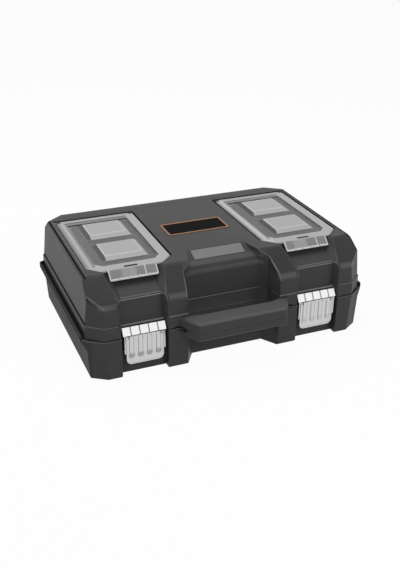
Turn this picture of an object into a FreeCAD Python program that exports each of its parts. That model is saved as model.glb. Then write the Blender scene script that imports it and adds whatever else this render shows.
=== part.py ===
import FreeCAD, Part
import math
import os

# A carrying case for small tools: a moulded base and a deeper hinged lid, two
# organiser wells in the lid under clear covers, two sheet-steel draw latches and
# a carrying handle that is split between base and lid. Millimetres, +Z up, +X
# along the width. The origin is below the middle of the whole part, on the floor.
# "Front" is the plane of the lid's four front pillars, and depths run back from it.

Vector = FreeCAD.Vector

# Case
case_width = 390.0
case_depth = 256.0
case_height = 129.0
wall = 2.6
floor_thickness = 3.0
parting_height = 56.0
parting_gap = 0.5
overrun = 3.0
far = 80.0

# Lid outline
lid_top_narrowing = 5.5
lid_edge_bevel = 2.4
lid_corner_width = 19.3
lid_corner_depth = 16.0
lid_back_corner_width = 29.0
lid_back_corner_depth = 14.0
lid_top_corner_depth = 25.0
lid_top_corner_fall = 12.0
bead_rise = 18.5
band_step = 1.4
slope_fall = 27.0
slope_top_depth = 38.5
slope_bend_radius = 16.0
slope_top_radius = 4.0
back_strip_depth = 24.0
back_strip_drop = 1.5
back_edge_radius = 5.0
bead_groove_height = 1.8
bead_groove_depth = 1.0
edge_groove_width = 1.8
edge_groove_depth = 2.0

# Latch bays between the front pillars
bay_inner = 0.236 * case_width
bay_width = 0.159 * case_width
bay_draw_share = 0.36
bay_flare_share = 0.98
bay_band_depth = 7.2
bay_ledge_over = 14.2
bay_wall_depth = 12.0
bay_ledge_rise = 1.6
bay_bend_fall = 24.5
bay_step_height = 1.6
bay_step_width = 2.4
bay_back_depth = 45.6
bay_back_fall = 12.5
base_bay_depth = 8.5

# Middle bay, the scoop behind the handle
scoop_front_half = 0.1675 * case_width
scoop_side_half = 0.156 * case_width
scoop_wall_half = 0.1295 * case_width
scoop_back_half = 0.108 * case_width
scoop_side_depth = 27.0
scoop_wall_depth = 35.0
scoop_back_depth = 67.0
scoop_slope_fall = 12.6
scoop_bend_radius = 9.0
base_scoop_depth = 20.0
base_scoop_half = 0.131 * case_width
base_scoop_side_share = 0.6

# Base outline
base_narrowing = 3.0
base_step = 2.5
base_corner_width = 20.0
base_corner_depth = 13.0
base_back_corner_width = 22.0
base_back_corner_depth = 10.0
base_foot_bevel = 1.6
base_rim_height = 2.6
base_rim_step = 0.9

# Flange round the sides and rear corners of the base, a gutter with a thin outer lip
flange_reach = 7.0
flange_lip = 1.8
flange_lip_rise = 6.0
flange_lip_height = 8.0
flange_taper_height = 15.0
flange_root_inset = 1.0

# Handle
handle_reach = 30.0
handle_bar_depth = 24.0
handle_front_inset = 4.5
handle_root_width = 13.0
handle_root_gap = 1.0
handle_back_inset = 14.0
handle_rise = 16.0
handle_drop = 10.0
handle_edge_radius = 3.0
pry_length = 14.0
pry_height = 6.0
pry_bend_radius = 6.0
pry_depth = 7.0
pry_start = 0.4
pry_side = 9.0
pry_side_height = 3.8
pry_lid_floor = 1.0
pry_base_floor = 1.2

# Rear hinge
hinge_centre = 0.3025 * case_width
hinge_out = 7.5
hinge_rise = 2.0
knuckle_radius = 4.5
knuckle_length = 20.0
knuckle_gap = 0.4
hinge_web_height = 13.0
hinge_pin_radius = 2.0

# Fits
running_clearance = 0.06
press_clearance = 0.02
seat_gap = 0.15
side_gap = 0.4

# Organiser covers
cover_inner = 0.169 * case_width
cover_width = 0.29 * case_width
cover_front_depth = 45.0
cover_back_inset = 37.0
cover_corner = 16.0
cover_thickness = 3.0
cover_proud = 0.4
cover_rim = 13.0
cover_channel_width = 2.4
cover_channel_depth = 2.4
cover_rim_front = 15.0
cover_rim_back = 14.0
window_corner = 9.0
window_top_drop = 1.2
window_under_rise = 0.6
blister_height = 5.0
blister_side = 6.0
blister_wall = 1.2
blister_gap = 19.0
blister_front_margin = 15.0
blister_back_margin = 7.0
blister_side_margin = 12.5
tab_overhang = 1.0
tab_reach = 12.0
tab_drop = 9.6
tab_thickness = 1.6
tab_ribs = 4
tab_rib_width = 1.4
tab_rib_rise = 0.5
slot_length = 17.0
slot_width = 2.2
slot_setback = 3.6
cover_barrel_radius = 2.1
cover_pin_radius = 1.0
ear_width = 6.0
ear_radius = 1.6

# Organiser wells
tray_flange = 3.0
tray_flange_thickness = 1.5
tray_margin = 9.0
tray_depth = 34.0
tray_wall = 1.6
deck_under = 2.4
deck_margin = 4.0
divider_thickness = 1.6
divider_groove = 0.8
divider_clearance = 0.2

# Label and thumb pad
label_width = 0.231 * case_width
label_length = 40.0
label_back_inset = 96.0
label_border = 2.6
label_thickness = 0.8
label_plate_thickness = 0.5
label_corner = 4.0
pad_side_inset = 6.0
pad_length = 17.0
pad_thickness = 0.8
pad_inset = 2.0

# Draw latches
sheet = 1.0
latch_face_proud = 0.6
strip_side_gap = 2.5
lever_inset = 3.7
lever_drop = 39.5
lever_corner = 7.0
lever_border = 1.6
lever_dish = 0.4
lever_curl = 3.6
lever_flange_rise = 3.0
pivot_drop = 2.4
bail_pivot_drop = 21.0
bail_pivot_depth = 2.2
strip_low_rise = 2.2
strip_high_rise = 11.8
strip_low_proud = 0.8
strip_lean = 5.4
strip_arm_overlap = 3.0
arm_gap = 0.4
arm_thickness = 1.8
arm_back_depth = 4.2
arm_end = 3.0
latch_ribs = 4
rib_width = 5.6
rib_rise = 0.5
rib_end_margin = 9.0
strip_rib_width = 2.2
lever_pin_radius = 1.2
bail_pin_radius = 1.0
bail_pin_head = 0.5
bracket_inset = 2.2
bracket_drop = 15.0
bracket_top_gap = 0.9
ear_thickness = 2.0
ear_end_radius = 2.2
rivet_drop = 10.0
rivet_radius = 1.5
rivet_head_radius = 3.0
rivet_head = 1.0

# Places worked out from the sizes above
half_width = case_width / 2
bead_height = parting_height + bead_rise
slope_foot_height = case_height - slope_fall
bay_ledge_height = parting_height + bay_ledge_over
bay_bend_height = case_height - bay_bend_fall
bay_back_height = case_height - bay_back_fall
handle_front_half = scoop_front_half - handle_front_inset
handle_root_inner = scoop_front_half + handle_root_gap
handle_root_outer = handle_root_inner + handle_root_width
handle_back_half = scoop_front_half - handle_back_inset
handle_top = parting_height + handle_rise
handle_bottom = parting_height - handle_drop
strip_half = bay_width / 2 - strip_side_gap
lever_half = strip_half - lever_inset
lever_bottom = parting_height - lever_drop
pivot_height = parting_height - pivot_drop
bail_pivot_height = parting_height - bail_pivot_drop
strip_low = parting_height + strip_low_rise
strip_high = parting_height + strip_high_rise
rib_spacing = 0.48 * lever_half
bracket_half = lever_half - bracket_inset
bracket_low = parting_height - bracket_drop
rivet_spacing = bracket_half
rivet_height = parting_height - rivet_drop
flange_half = half_width + flange_reach
hinge_reach = hinge_out + knuckle_radius
front = (handle_reach - case_depth - hinge_reach) / 2
back = front + case_depth
lid_low = parting_height + parting_gap / 2
base_high = parting_height - parting_gap / 2
base_front = front - base_step
hinge_y = back + hinge_out
hinge_z = parting_height + hinge_rise
bay_outer = bay_inner + bay_width
latch_x = bay_inner + bay_width / 2
latch_face = front - latch_face_proud
pivot_y = latch_face + lever_curl
bail_y = front + bail_pivot_depth
cover_outer = cover_inner + cover_width
cover_seat = case_height + cover_proud - cover_thickness
pocket_floor = cover_seat - seat_gap
cover_front = front + cover_front_depth
cover_axis_y = back - cover_back_inset
cover_axis_z = cover_seat + cover_thickness / 2
flange_floor = pocket_floor - tray_flange_thickness
deck_low = flange_floor - deck_under


# Helpers for outlines and solids

def grown(points, distance):
    """Offset a counter-clockwise outline outwards by distance, inwards if negative."""
    moved = []
    count = len(points)
    for index in range(count):
        before = points[index - 1]
        here = points[index]
        after = points[(index + 1) % count]
        a = unit(before, here)
        b = unit(here, after)
        turn = 1 + a[0] * b[0] + a[1] * b[1]
        x = here[0] + distance * (a[1] + b[1]) / turn
        y = here[1] - distance * (a[0] + b[0]) / turn
        moved.append((x, y))
    return moved


def unit(start, end):
    run = math.hypot(end[0] - start[0], end[1] - start[1])
    return ((end[0] - start[0]) / run, (end[1] - start[1]) / run)


def rounded_wire(points, radii, place):
    """A closed wire through 2-D points, with an arc at each corner that has a radius."""
    count = len(points)
    corners = []
    for index in range(count):
        here = points[index]
        radius = radii.get(index, 0)
        if radius == 0:
            corners.append((here, None, here))
            continue
        a = unit(here, points[index - 1])
        b = unit(here, points[(index + 1) % count])
        half = math.acos(a[0] * b[0] + a[1] * b[1]) / 2
        run = radius / math.tan(half)
        middle = unit((0, 0), (a[0] + b[0], a[1] + b[1]))
        reach = radius / math.sin(half) - radius
        start = (here[0] + a[0] * run, here[1] + a[1] * run)
        end = (here[0] + b[0] * run, here[1] + b[1] * run)
        through = (here[0] + middle[0] * reach, here[1] + middle[1] * reach)
        corners.append((start, through, end))
    edges = []
    for index in range(count):
        start, through, end = corners[index]
        if through:
            edges.append(Part.Arc(place(start), place(through), place(end)).toShape())
        following = corners[(index + 1) % count][0]
        edges.append(Part.makeLine(place(end), place(following)))
    return Part.Wire(edges)


def plan_prism(points, low, high, radii={}):
    """A solid with an outline in X and Y, from one height to another."""
    wire = rounded_wire(points, radii, lambda p: Vector(p[0], p[1], low))
    return Part.Face(wire).extrude(Vector(0, 0, high - low))


def front_prism(points, y0, y1, radii={}):
    """A solid with an outline in X and Z, from one Y to another."""
    wire = rounded_wire(points, radii, lambda p: Vector(p[0], y0, p[1]))
    return Part.Face(wire).extrude(Vector(0, y1 - y0, 0))


def side_prism(points, left, right, radii={}):
    """A solid with an outline in Y and Z, from one X to another."""
    wire = rounded_wire(points, radii, lambda p: Vector(left, p[0], p[1]))
    return Part.Face(wire).extrude(Vector(right - left, 0, 0))


def box(x0, x1, y0, y1, z0, z1):
    return Part.makeBox(x1 - x0, y1 - y0, z1 - z0, Vector(x0, y0, z0))


def rod(left, right, y, z, radius):
    return Part.makeCylinder(radius, right - left, Vector(left, y, z), Vector(1, 0, 0))


def stud(x, z, y0, y1, radius):
    return Part.makeCylinder(radius, y1 - y0, Vector(x, y0, z), Vector(0, 1, 0))


def flat(points):
    return Part.Face(Part.makePolygon(points + [points[0]]))


def tapered(levels):
    """A solid through like outlines at rising heights, with flat sides."""
    rings = []
    for height, points in levels:
        rings.append([Vector(x, y, height) for x, y in points])
    faces = [flat(rings[0]), flat(rings[-1])]
    for lower, upper in zip(rings, rings[1:]):
        for index in range(len(lower)):
            a, b = lower[index - 1], lower[index]
            d, c = upper[index - 1], upper[index]
            normal = (b - a).cross(d - a)
            if abs(normal.normalize().dot(c - a)) < parting_gap / case_width:
                faces.append(flat([a, b, c, d]))
            else:
                faces.append(flat([a, b, c]))
                faces.append(flat([a, c, d]))
    solid = Part.Solid(Part.Shell(faces))
    if solid.Volume < 0:
        solid.reverse()
    return solid


def mirrored(shape):
    return shape.mirror(Vector(0, 0, 0), Vector(1, 0, 0))


def both(shape):
    return shape.fuse(mirrored(shape))


def octagon(half, y_front, y_back, front_corner, back_corner):
    """A counter-clockwise outline with its corners cut, each by a width and a depth."""
    right = [
        (half - front_corner[0], y_front),
        (half, y_front + front_corner[1]),
        (half, y_back - back_corner[1]),
        (half - back_corner[0], y_back),
    ]
    left = [(-x, y) for x, y in reversed(right)]
    return right + left


# Lid shell

def lid_plan(half, back_depth=lid_back_corner_depth):
    front_corner = (lid_corner_width, lid_corner_depth)
    return octagon(half, front, back, front_corner, (lid_back_corner_width, back_depth))


def lid_block(inset, low):
    """The lid's outer block, or its cavity when inset by the wall."""
    top = case_height - inset
    shoulder = top - lid_edge_bevel
    crown = top - lid_top_corner_fall
    top_half = half_width - lid_top_narrowing
    crown_half = half_width - lid_top_narrowing * (crown - bead_height) / (shoulder - bead_height)
    levels = [
        (low, grown(lid_plan(half_width), -inset)),
        (bead_height, grown(lid_plan(half_width), -inset)),
        (crown, grown(lid_plan(crown_half), -inset)),
        (shoulder, grown(lid_plan(top_half, lid_top_corner_depth), -inset)),
        (top, grown(lid_plan(top_half - lid_edge_bevel, lid_top_corner_depth), -inset)),
    ]
    profile = [
        (front, low - inset),
        (back, low - inset),
        (back, case_height - back_strip_drop),
        (back - back_strip_depth, case_height),
        (front + slope_top_depth, case_height),
        (front, slope_foot_height),
    ]
    radii = {2: back_edge_radius, 4: slope_top_radius, 5: slope_bend_radius}
    if inset:
        profile = grown(profile, -inset)
        radii = {}
    return tapered(levels).common(side_prism(profile, -half_width, half_width, radii))


def lid_grooves():
    """The narrow groove above the bead and the one along the top's edge, on the right side."""
    y0 = front + lid_corner_depth
    y1 = back - lid_top_corner_depth
    outside = half_width + band_step + overrun
    bead = box(half_width - bead_groove_depth, outside, y0, back - lid_back_corner_depth,
               bead_height, bead_height + bead_groove_height)
    rim = half_width - lid_top_narrowing - lid_edge_bevel
    edge = box(rim - edge_groove_width, rim, y0, y1, case_height - edge_groove_depth, case_height + overrun)
    return bead.fuse(edge)


def bay_sides(spread):
    """The right bay in plan: it closes in with depth, and leans out above the bend."""
    y0 = front - overrun
    y1 = front + bay_back_depth + overrun
    levels = []
    for height in (parting_height - far, bay_bend_height, case_height + overrun):
        lean = bay_flare_share * max(0, height - bay_bend_height)
        near = bay_width / 2 + lean + bay_draw_share * overrun
        away = bay_width / 2 + lean - bay_draw_share * (y1 - front)
        outline = [(latch_x - near, y0), (latch_x + near, y0), (latch_x + away, y1), (latch_x - away, y1)]
        levels.append((height, grown(outline, spread)))
    return tapered(levels)


def lid_latch_bay(spread):
    """What the right latch bay takes from the lid, wider by the wall for the cavity."""
    step_height = bay_bend_height - bay_step_height
    profile = [
        (front - far, parting_height - far),
        (front + bay_band_depth, parting_height - far),
        (front + bay_band_depth, bay_ledge_height),
        (front + bay_wall_depth, bay_ledge_height + bay_ledge_rise),
        (front + bay_wall_depth, step_height),
        (front + bay_wall_depth + bay_step_width, step_height),
        (front + bay_wall_depth + bay_step_width, bay_bend_height),
        (front + bay_back_depth, bay_back_height),
        (front + bay_back_depth, case_height + far),
        (front - far, case_height + far),
    ]
    prism = side_prism(grown(profile, spread), latch_x - bay_width - far, latch_x + bay_width + far)
    return prism.common(bay_sides(spread))


def lid_scoop(spread):
    """What the middle bay takes from the lid: a slope from the top, then a wall."""
    lean = (scoop_wall_half - scoop_back_half) / (scoop_back_depth - scoop_wall_depth)
    right = [
        (scoop_front_half, front - far),
        (scoop_front_half, front),
        (scoop_side_half, front + scoop_side_depth),
        (scoop_wall_half, front + scoop_wall_depth),
        (scoop_back_half - lean * overrun, front + scoop_back_depth + overrun),
    ]
    plan = right + [(-x, y) for x, y in reversed(right)]
    bend_height = case_height - scoop_slope_fall
    rise = scoop_slope_fall / (scoop_back_depth - scoop_wall_depth)
    profile = [
        (front - far, parting_height - far),
        (front + scoop_wall_depth - band_step, parting_height - far),
        (front + scoop_wall_depth - band_step, bead_height),
        (front + scoop_wall_depth, bead_height),
        (front + scoop_wall_depth, bend_height),
        (front + scoop_back_depth + overrun, case_height + overrun * rise),
        (front - far, case_height + overrun * rise),
    ]
    radii = {4: scoop_bend_radius}
    if spread:
        plan = grown(plan, spread)
        profile = grown(profile, spread)
        radii = {}
    prism = plan_prism(plan, parting_height - far, case_height + far)
    return prism.common(side_prism(profile, -half_width, half_width, radii))


def lid_bays(spread):
    return both(lid_latch_bay(spread)).fuse(lid_scoop(spread))


def cover_plan(spread):
    outline = [
        (cover_inner + cover_corner, cover_front),
        (cover_outer - cover_corner, cover_front),
        (cover_outer, cover_front + cover_corner),
        (cover_outer, cover_axis_y),
        (cover_inner, cover_axis_y),
        (cover_inner, cover_front + cover_corner),
    ]
    return grown(outline, spread)


def cover_pocket():
    """Room for the right cover and its barrel, from the lid's top down to the seat."""
    pocket = plan_prism(cover_plan(side_gap), pocket_floor, case_height + overrun)
    rear = cover_axis_y + cover_barrel_radius + side_gap
    high = case_height + overrun
    tail = box(cover_inner - side_gap, cover_outer + side_gap, cover_axis_y, rear, pocket_floor, high)
    low = cover_axis_z - cover_barrel_radius - side_gap
    near = cover_axis_y - cover_barrel_radius - side_gap
    groove = box(cover_inner + ear_width, cover_outer - ear_width, near, rear, low, high)
    return pocket.fuse([tail, groove])


def cover_channels():
    """The open grooves beside and behind the right cover, which show as dark lines round it."""
    side_low = cover_front + cover_corner
    side_high = cover_axis_y - ear_radius
    rear = cover_axis_y + cover_barrel_radius
    low = case_height - cover_channel_depth
    high = case_height + overrun
    inner = box(cover_inner - cover_channel_width, cover_inner, side_low, side_high, low, high)
    outer = box(cover_outer, cover_outer + cover_channel_width, side_low, side_high, low, high)
    tail = box(cover_inner + ear_width, cover_outer - ear_width, rear, rear + cover_channel_width, low, high)
    return inner.fuse([outer, tail])


def cover_ears():
    """The two lugs of the lid that hold the right cover's hinge pin."""
    near = cover_axis_y - ear_radius
    rear = cover_axis_y + cover_barrel_radius + side_gap
    top = cover_axis_z + ear_radius
    inner = box(cover_inner - side_gap, cover_inner + ear_width, near, rear, pocket_floor - seat_gap, top)
    outer = box(cover_outer - ear_width, cover_outer + side_gap, near, rear, pocket_floor - seat_gap, top)
    return inner.fuse(outer)


def tray_plan(spread):
    x0 = cover_inner + tray_margin
    x1 = cover_outer - tray_margin
    y0 = cover_front + tray_margin + tray_flange
    y1 = cover_axis_y - tray_margin
    return grown([(x0, y0), (x1, y0), (x1, y1), (x0, y1)], spread)


def lid_deck():
    """The thick land under the right cover, with a step for the tray's flange."""
    return plan_prism(cover_plan(deck_margin + tray_flange), deck_low, case_height)


def hinge_knuckle(left, right, web):
    barrel = rod(left, right, hinge_y, hinge_z, knuckle_radius)
    return barrel.fuse(side_prism(web, left, right))


def lid_knuckles():
    web = [
        (back - wall / 2, hinge_z),
        (hinge_y, hinge_z - knuckle_radius / 2),
        (hinge_y + knuckle_radius / 2, hinge_z + knuckle_radius / 2),
        (back - wall / 2, hinge_z + hinge_web_height),
    ]
    left = hinge_centre - knuckle_length / 2
    return hinge_knuckle(left, left + knuckle_length, web)


def base_knuckles():
    web = [
        (back - wall / 2, base_high - hinge_web_height),
        (hinge_y + knuckle_radius / 2, hinge_z - knuckle_radius / 2),
        (hinge_y, hinge_z),
        (hinge_y - knuckle_radius / 2, hinge_z - knuckle_radius / 2),
        (back - wall / 2, base_high - parting_gap),
    ]
    inner = hinge_centre - knuckle_length / 2 - knuckle_gap
    outer = hinge_centre + knuckle_length / 2 + knuckle_gap
    near = hinge_knuckle(inner - knuckle_length / 2, inner, web)
    return near.fuse(hinge_knuckle(outer, outer + knuckle_length / 2, web))


def hinge_bore(clearance):
    left = hinge_centre - knuckle_length - knuckle_gap - overrun
    right = hinge_centre + knuckle_length + knuckle_gap + overrun
    return rod(left, right, hinge_y, hinge_z, hinge_pin_radius + clearance)


def handle_half(low, high, rounded_height):
    """One half of the handle: a bar on two splayed arms, with its outer edge rounded."""
    bar_front = front - handle_reach
    bar_back = bar_front + handle_bar_depth
    root = front + wall / 2
    splay = (handle_root_outer - handle_front_half) / handle_reach
    root_outer = handle_root_outer + splay * (root - front)
    outline = [
        (-handle_front_half, bar_front),
        (handle_front_half, bar_front),
        (root_outer, root),
        (handle_root_inner, root),
        (handle_root_inner, front),
        (handle_back_half, bar_back),
        (-handle_back_half, bar_back),
        (-handle_root_inner, front),
        (-handle_root_inner, root),
        (-root_outer, root),
    ]
    bar = plan_prism(outline, low, high, {0: handle_edge_radius, 1: handle_edge_radius})
    edges = []
    for edge in bar.Edges:
        level = all(abs(v.Z - rounded_height) < parting_gap for v in edge.Vertexes)
        ahead = edge.CenterOfMass.y < bar_back
        outside = edge.BoundBox.YMin < bar_back - handle_edge_radius
        if level and ahead and outside:
            edges.append(edge)
    bar = bar.makeFillet(handle_edge_radius, edges)
    middle = front - pry_start - pry_length / 2
    lens = [
        (middle - pry_length / 2, parting_height),
        (middle, parting_height - pry_height),
        (middle + pry_length / 2, parting_height),
        (middle, parting_height + pry_height),
    ]
    inside = handle_root_outer - pry_depth - splay * (pry_start + pry_length)
    bends = {1: pry_bend_radius, 3: pry_bend_radius}
    slot = side_prism(lens, inside, handle_root_outer + overrun, bends)
    return bar.cut(both(slot))


def pry_hollow(floor):
    """A shallow hollow on the right pillar beside the handle's arm, which runs on into its slot."""
    outline = [
        (handle_root_inner, parting_height - pry_side_height),
        (handle_root_outer, parting_height - pry_side_height),
        (handle_root_outer + pry_side, parting_height),
        (handle_root_outer, parting_height + pry_side_height),
        (handle_root_inner, parting_height + pry_side_height),
    ]
    bends = {1: pry_bend_radius, 3: pry_bend_radius}
    hollow = front_prism(outline, base_front - overrun, floor, bends)
    slit = box(handle_root_outer - pry_depth / 2, half_width, base_front - overrun, floor,
               parting_height - far, parting_height + far)
    return hollow.common(slit)


def lid_shell():
    body = lid_block(0, lid_low)
    band_plan = grown(lid_plan(half_width), band_step)
    body = body.fuse(plan_prism(band_plan, lid_low, bead_height)).cut(lid_bays(0))
    cavity = lid_block(wall, lid_low - overrun).cut(lid_bays(wall)).cut(both(lid_deck()))
    body = body.cut(cavity)
    openings = cover_pocket()
    openings = openings.fuse(plan_prism(tray_plan(side_gap), deck_low - overrun, pocket_floor + seat_gap))
    step = plan_prism(tray_plan(tray_flange + side_gap), flange_floor, pocket_floor + seat_gap)
    openings = openings.fuse([step, cover_channels()])
    body = body.cut(both(openings))
    ears = cover_ears().cut(cover_pin_bore(press_clearance))
    body = body.fuse(both(ears))
    body = body.fuse(handle_half(lid_low, handle_top, handle_top))
    body = body.cut(both(pry_hollow(front + pry_lid_floor)).fuse(both(lid_grooves())))
    body = body.fuse(both(lid_knuckles()))
    return body.cut(both(hinge_bore(running_clearance))).removeSplitter()


# Base shell

def base_plan(half, reach=0):
    """The base's outline. What reaches further out keeps the slant of the front corners."""
    width = base_corner_width + reach
    front_corner = (width, base_corner_depth * width / base_corner_width)
    return octagon(half, base_front, back, front_corner, (base_back_corner_width, base_back_corner_depth))


def base_scoop(spread):
    """What the middle bay takes from the base: its wall comes forward towards the floor."""
    share = base_scoop_side_share
    rear = front + base_scoop_depth
    low_side = (scoop_front_half + share * (base_scoop_half - scoop_front_half),
                base_front + share * (rear - base_front))
    low = scoop_outline(low_side, (base_scoop_half, rear), spread)
    high_side = (scoop_side_half, front + scoop_side_depth - band_step)
    high = scoop_outline(high_side, (scoop_wall_half, front + scoop_wall_depth - band_step), spread)
    return tapered([(-overrun, low), (0, low), (base_high, high), (base_high + overrun, high)])


def scoop_outline(side, corner, spread):
    """The base's middle bay in plan, through a point on its side and its rear corner."""
    right = [(scoop_front_half, base_front - far), (scoop_front_half, base_front), side, corner]
    return grown(right + [(-x, y) for x, y in reversed(right)], spread)


def base_latch_bay(spread):
    rear = front + base_bay_depth + spread
    return box(bay_inner - spread, bay_outer + spread, front - far, rear, -overrun, base_high + overrun)


def base_flange():
    """The gutter and lip round the sides and rear corners, tapering into the wall below."""
    top = base_high + flange_lip_rise
    turn = top - flange_lip_height
    reach = flange_reach + flange_root_inset
    outside = base_plan(flange_half, reach)
    inside = base_plan(flange_half - flange_lip, reach - flange_lip)
    root = base_plan(half_width - flange_root_inset)
    ring = tapered([(turn - flange_taper_height, root), (turn, outside), (top, outside)])
    ring = ring.cut(plan_prism(inside, base_high, top + overrun))
    lip_start = base_front + base_corner_depth
    run_up = [
        (base_front - far, base_high),
        (lip_start, base_high),
        (lip_start + flange_lip_rise, top),
        (lip_start + flange_lip_rise, top + overrun),
        (base_front - far, top + overrun),
    ]
    return ring.cut(side_prism(run_up, -far - flange_half, far + flange_half))


def base_shell():
    foot = base_foot_bevel
    low_half = half_width - base_narrowing + base_rim_step
    high_half = half_width + base_rim_step
    body = tapered([
        (0, grown(base_plan(low_half), -foot)),
        (foot, base_plan(low_half)),
        (base_high, base_plan(high_half)),
    ])
    rim = plan_prism(grown(base_plan(high_half), base_rim_step), base_high - base_rim_height, base_high)
    body = body.fuse([rim, base_flange()])
    cavity = tapered([
        (floor_thickness, grown(base_plan(low_half), -wall)),
        (base_high + overrun, grown(base_plan(high_half), -wall)),
    ])
    body = body.cut(both(base_latch_bay(0)).fuse(base_scoop(0)))
    cavity = cavity.cut(both(base_latch_bay(wall)).fuse(base_scoop(wall)))
    body = body.cut(cavity)
    body = body.fuse(handle_half(handle_bottom, base_high, handle_bottom))
    body = body.cut(both(pry_hollow(base_front + pry_base_floor)))
    body = body.fuse(both(base_knuckles()))
    body = body.cut(both(hinge_bore(press_clearance)))
    return body.cut(both(rivet_bores())).removeSplitter()


def hinge_pin():
    left = hinge_centre - knuckle_length - knuckle_gap
    right = hinge_centre + knuckle_length + knuckle_gap
    return rod(left, right, hinge_y, hinge_z, hinge_pin_radius)


# Organiser cover, well and divider

def window_plan(spread):
    x0 = cover_inner + cover_rim
    x1 = cover_outer - cover_rim
    y0 = cover_front + cover_rim_front
    y1 = cover_axis_y - cover_rim_back
    outline = [
        (x0 + window_corner, y0),
        (x1 - window_corner, y0),
        (x1, y0 + window_corner),
        (x1, y1),
        (x0, y1),
        (x0, y0 + window_corner),
    ]
    return grown(outline, spread)


def blister(y_start, y_end):
    """A hollow raised panel of the cover, with sloping sides."""
    x0 = cover_inner + cover_rim + blister_side_margin
    x1 = cover_outer - cover_rim - blister_side_margin
    base_height = cover_seat + cover_thickness - window_top_drop
    plan = [(x0, y_start), (x1, y_start), (x1, y_end), (x0, y_end)]
    low = base_height - blister_wall
    top = base_height + blister_height
    hollow_low = cover_seat - overrun
    outer = tapered([(low, plan), (base_height, plan), (top, grown(plan, -blister_side))])
    inner_plan = grown(plan, -blister_wall)
    inner_top = grown(plan, -blister_side - blister_wall / 2)
    inner = tapered([(hollow_low, inner_plan), (base_height, inner_plan), (top - blister_wall, inner_top)])
    return outer, inner


def cover_pin_bore(clearance):
    return rod(cover_inner - side_gap, cover_outer + side_gap, cover_axis_y, cover_axis_z,
               cover_pin_radius + clearance)


def cover_tab():
    """The snap tab over the front edge, leaning out over the latch bay, with ribs."""
    high = cover_seat + cover_thickness
    lean_y = tab_reach / math.hypot(tab_reach, tab_drop)
    lean_z = tab_drop / math.hypot(tab_reach, tab_drop)
    outer_top = (cover_front - tab_thickness, high)
    outer_low = (cover_front - tab_thickness - tab_reach + tab_thickness, high - tab_drop)
    inner_low = (outer_low[0] + tab_thickness * lean_z, outer_low[1] - tab_thickness * lean_y)
    inner_top = (cover_front, cover_seat)
    left = bay_inner - tab_overhang
    right = bay_outer + tab_overhang
    hang = [outer_top, outer_low, inner_low, inner_top, (cover_front + wall, cover_seat)]
    hang.append((cover_front + wall, high))
    tab = side_prism(hang, left, right)
    rib = [
        (outer_top[0], outer_top[1] - tab_rib_rise),
        (outer_top[0] - tab_rib_rise, outer_top[1] - tab_thickness),
        (outer_low[0] - tab_rib_rise, outer_low[1] + tab_thickness),
        (outer_low[0], outer_low[1] + tab_rib_rise),
    ]
    step = (right - left) / (tab_ribs + 1)
    for index in range(tab_ribs):
        x = left + step * (index + 1) - tab_rib_width / 2
        tab = tab.fuse(side_prism(rib, x, x + tab_rib_width))
    return tab


def organiser_cover():
    high = cover_seat + cover_thickness
    plate = plan_prism(cover_plan(0), cover_seat, high)
    near = cover_axis_y - cover_barrel_radius - side_gap
    for x0, x1 in ((cover_inner - overrun, cover_inner + ear_width + side_gap),
                   (cover_outer - ear_width - side_gap, cover_outer + overrun)):
        plate = plate.cut(box(x0, x1, near, cover_axis_y + overrun, cover_seat - overrun, high + overrun))
    barrel = rod(cover_inner + ear_width + side_gap, cover_outer - ear_width - side_gap,
                 cover_axis_y, cover_axis_z, cover_barrel_radius)
    plate = plate.fuse(barrel)
    plate = plate.cut(plan_prism(window_plan(0), high - window_top_drop, high + overrun))
    plate = plate.cut(plan_prism(window_plan(0), cover_seat - overrun, cover_seat + window_under_rise))
    first = cover_front + cover_rim_front + blister_front_margin
    last = cover_axis_y - cover_rim_back - blister_back_margin
    length = (last - first - blister_gap) / 2
    for y_start in (first, last - length):
        outer, inner = blister(y_start, y_start + length)
        plate = plate.fuse(outer).cut(inner)
    slot_y = cover_front + slot_setback
    plate = plate.cut(box(latch_x - slot_length / 2, latch_x + slot_length / 2, slot_y,
                          slot_y + slot_width, cover_seat - overrun, high + overrun))
    plate = plate.fuse(cover_tab())
    return plate.cut(cover_pin_bore(running_clearance)).removeSplitter()


def cover_pin():
    return rod(cover_inner, cover_outer, cover_axis_y, cover_axis_z, cover_pin_radius)


def organiser_tray():
    low = flange_floor - tray_depth
    flange_top = flange_floor + tray_flange_thickness - seat_gap
    body = plan_prism(tray_plan(0), low, flange_top)
    body = body.fuse(plan_prism(tray_plan(tray_flange), flange_floor, flange_top))
    body = body.cut(plan_prism(tray_plan(-tray_wall), low + tray_wall, flange_top + overrun))
    return body.cut(divider_block(divider_groove + divider_clearance, divider_clearance, low + tray_wall))


def divider_block(reach, slack, low):
    """The divider's plate across the right tray, or its groove when given some slack."""
    inner = tray_plan(-tray_wall)
    middle = (inner[0][1] + inner[2][1]) / 2
    half = divider_thickness / 2 + slack
    high = flange_floor - divider_clearance + (overrun if slack else 0)
    return box(inner[0][0] - reach, inner[1][0] + reach, middle - half, middle + half, low, high)


def organiser_divider():
    return divider_block(divider_groove, 0, flange_floor - tray_depth + tray_wall)


# Label and thumb pad

def label_plan(spread):
    half = label_width / 2
    y1 = back - label_back_inset
    y0 = y1 - label_length
    return grown([(-half, y0), (half, y0), (half, y1), (-half, y1)], spread)


def label_frame():
    radii = dict.fromkeys(range(len(label_plan(0))), label_corner)
    ring = plan_prism(label_plan(0), case_height, case_height + label_thickness, radii)
    return ring.cut(plan_prism(label_plan(-label_border), case_height - overrun, case_height + overrun))


def label_plate():
    return plan_prism(label_plan(-label_border), case_height, case_height + label_plate_thickness)


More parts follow.
